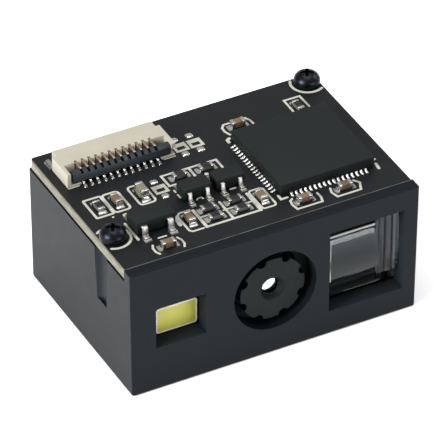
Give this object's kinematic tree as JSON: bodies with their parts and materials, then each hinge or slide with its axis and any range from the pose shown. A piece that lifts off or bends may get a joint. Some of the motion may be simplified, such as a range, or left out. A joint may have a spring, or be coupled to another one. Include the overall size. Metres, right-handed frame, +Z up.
{
  "type": "barcode scan engine",
  "caption": "Small black camera module that reads barcodes: a focusing lens, a white LED, a clear aimer lens, and a circuit board with a flat-cable connector.",
  "frame": {"origin": "centre of the underside", "axes": "+Z up out of the circuit board, -Y out of the front face with the lens, +X to the right seen from the front; the lens looks along -Y"},
  "size_m": [0.0214, 0.0148, 0.011],
  "materials": {
    "housing_plastic": "fine moulded satin black",
    "board_lacquer": "black solder resist over glass-epoxy, white print",
    "screw_steel": "blackened steel",
    "connector_cream": "cream moulded plastic",
    "lock_plastic": "black moulded plastic",
    "tinned_metal": "bright tin",
    "chip_epoxy": "dark moulded epoxy",
    "lens_plastic": "matt black",
    "optical_glass": "coated clear glass",
    "filter_glass": "pale blue-green coated glass",
    "sensor_silicon": "glossy sensor face",
    "led_white": "white moulded package",
    "phosphor_yellow": "yellow phosphor resin",
    "clear_resin": "clear moulded resin",
    "ceramic_brown": "brown ceramic with tinned ends",
    "ceramic_olive": "olive ceramic with tinned ends",
    "resistor_black": "black glaze on ceramic with tinned ends"
  },
  "bodies": {
    "root": {"housing": "housing_plastic", "main_board": "board_lacquer", "board_screw_front_left": "screw_steel", "board_screw_back_right": "screw_steel", "fpc_connector_body": "connector_cream", "fpc_anchor_left": "tinned_metal", "fpc_anchor_right": "tinned_metal", "decoder_chip": "chip_epoxy", "logic_chip_left": "chip_epoxy", "logic_chip_right": "chip_epoxy", "voltage_regulator": "chip_epoxy", "lens_holder": "lens_plastic", "infrared_filter": "filter_glass", "image_sensor": "sensor_silicon", "sensor_board": "board_lacquer", "sensor_header": "housing_plastic", "illumination_led": "led_white", "led_phosphor": "phosphor_yellow", "illumination_board": "board_lacquer", "aimer_lens": "clear_resin", "aimer_aperture_plate": "lens_plastic", "aimer_led": "led_white", "aimer_board": "board_lacquer", "fpc_contact_01": "tinned_metal", "fpc_contact_02": "tinned_metal", "fpc_contact_03": "tinned_metal", "fpc_contact_04": "tinned_metal", "fpc_contact_05": "tinned_metal", "fpc_contact_06": "tinned_metal", "fpc_contact_07": "tinned_metal", "fpc_contact_08": "tinned_metal", "fpc_contact_09": "tinned_metal", "fpc_contact_10": "tinned_metal", "fpc_contact_11": "tinned_metal", "fpc_contact_12": "tinned_metal", "capacitor_1": "ceramic_brown", "resistor_1": "resistor_black", "capacitor_2": "ceramic_brown", "resistor_2": "resistor_black", "capacitor_3": "ceramic_brown", "resistor_3": "resistor_black", "capacitor_4": "ceramic_brown", "resistor_4": "resistor_black", "capacitor_5": "ceramic_brown", "resistor_5": "resistor_black", "capacitor_6": "ceramic_brown", "resistor_6": "resistor_black", "capacitor_7": "ceramic_brown", "resistor_7": "resistor_black", "capacitor_8": "ceramic_olive", "resistor_8": "resistor_black"},
    "lens_optics": {"front_glass": "optical_glass", "rear_glass": "optical_glass", "glass_spacer": "lens_plastic"},
    "lens_barrel_body": {"lens_barrel": "lens_plastic"},
    "flip_lock": {"fpc_flip_lock": "lock_plastic"}
  },
  "joints": [
    {"name": "focus_travel", "type": "slide", "parent": "root", "child": "lens_optics", "axis": [0, -1, 0], "range_m": [-0.000174, 0.000174]},
    {"name": "focus_turn", "type": "hinge", "parent": "lens_optics", "child": "lens_barrel_body", "pos_m": [-0.00003, -0.00495, 0.00495], "axis": [0, -1, 0], "range_deg": [-180, 180]},
    {"name": "lock_flip", "type": "hinge", "parent": "root", "child": "flip_lock", "pos_m": [-0.00603, 0.00372, 0.01045], "axis": [-1, 0, 0], "range_deg": [0, 95]}
  ],
  "couplings": [
    {"joint": "focus_turn", "follows": "focus_travel", "rad_per_m": 17952}
  ]
}
